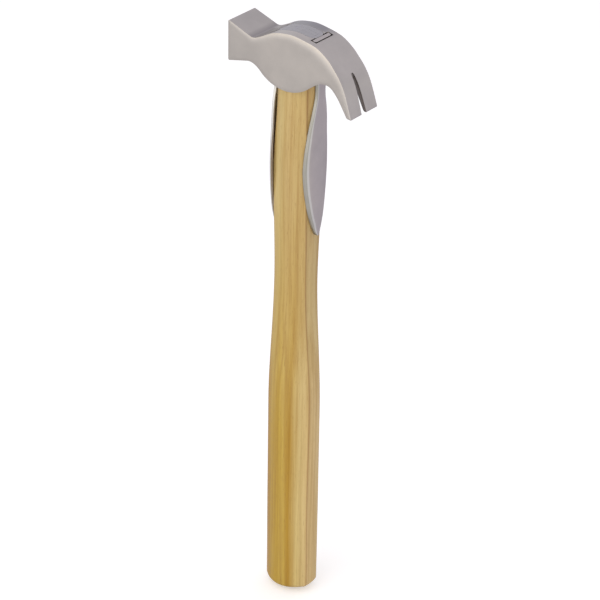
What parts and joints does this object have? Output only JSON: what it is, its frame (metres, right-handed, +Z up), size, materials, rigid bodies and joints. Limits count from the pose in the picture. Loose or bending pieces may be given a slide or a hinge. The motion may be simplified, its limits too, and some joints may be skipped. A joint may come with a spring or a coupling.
{
  "type": "claw hammer",
  "caption": "Small strapped claw hammer: slab-sided forged head, curved claw with a nail slot, steel straps down an oval wooden handle.",
  "frame": {"origin": "middle of the handle's flat butt end", "axes": "+Z up the handle to the head, -X towards the striking face and +X towards the claw, Y square to the hammer's mirror plane"},
  "size_m": [0.0795, 0.0238, 0.342],
  "materials": {
    "forged_steel": "ground and lightly polished forged steel with a dull grey sheen",
    "handle_wood": "golden ash under a thin satin varnish, grain along the handle",
    "strap_steel": "ground mild steel with bevelled edges",
    "wedge_wood": "plain hardwood, end grain showing at the crown",
    "wedge_steel": "plain steel, ground flush with the crown",
    "rivet_steel": "steel, countersunk and filed flush"
  },
  "bodies": {
    "root": {"head": "forged_steel", "handle": "handle_wood", "strap_claw_side": "strap_steel", "strap_poll_side": "strap_steel", "wood_wedge": "wedge_wood", "steel_wedge": "wedge_steel", "rivet_upper": "rivet_steel", "rivet_lower": "rivet_steel"}
  },
  "joints": []
}
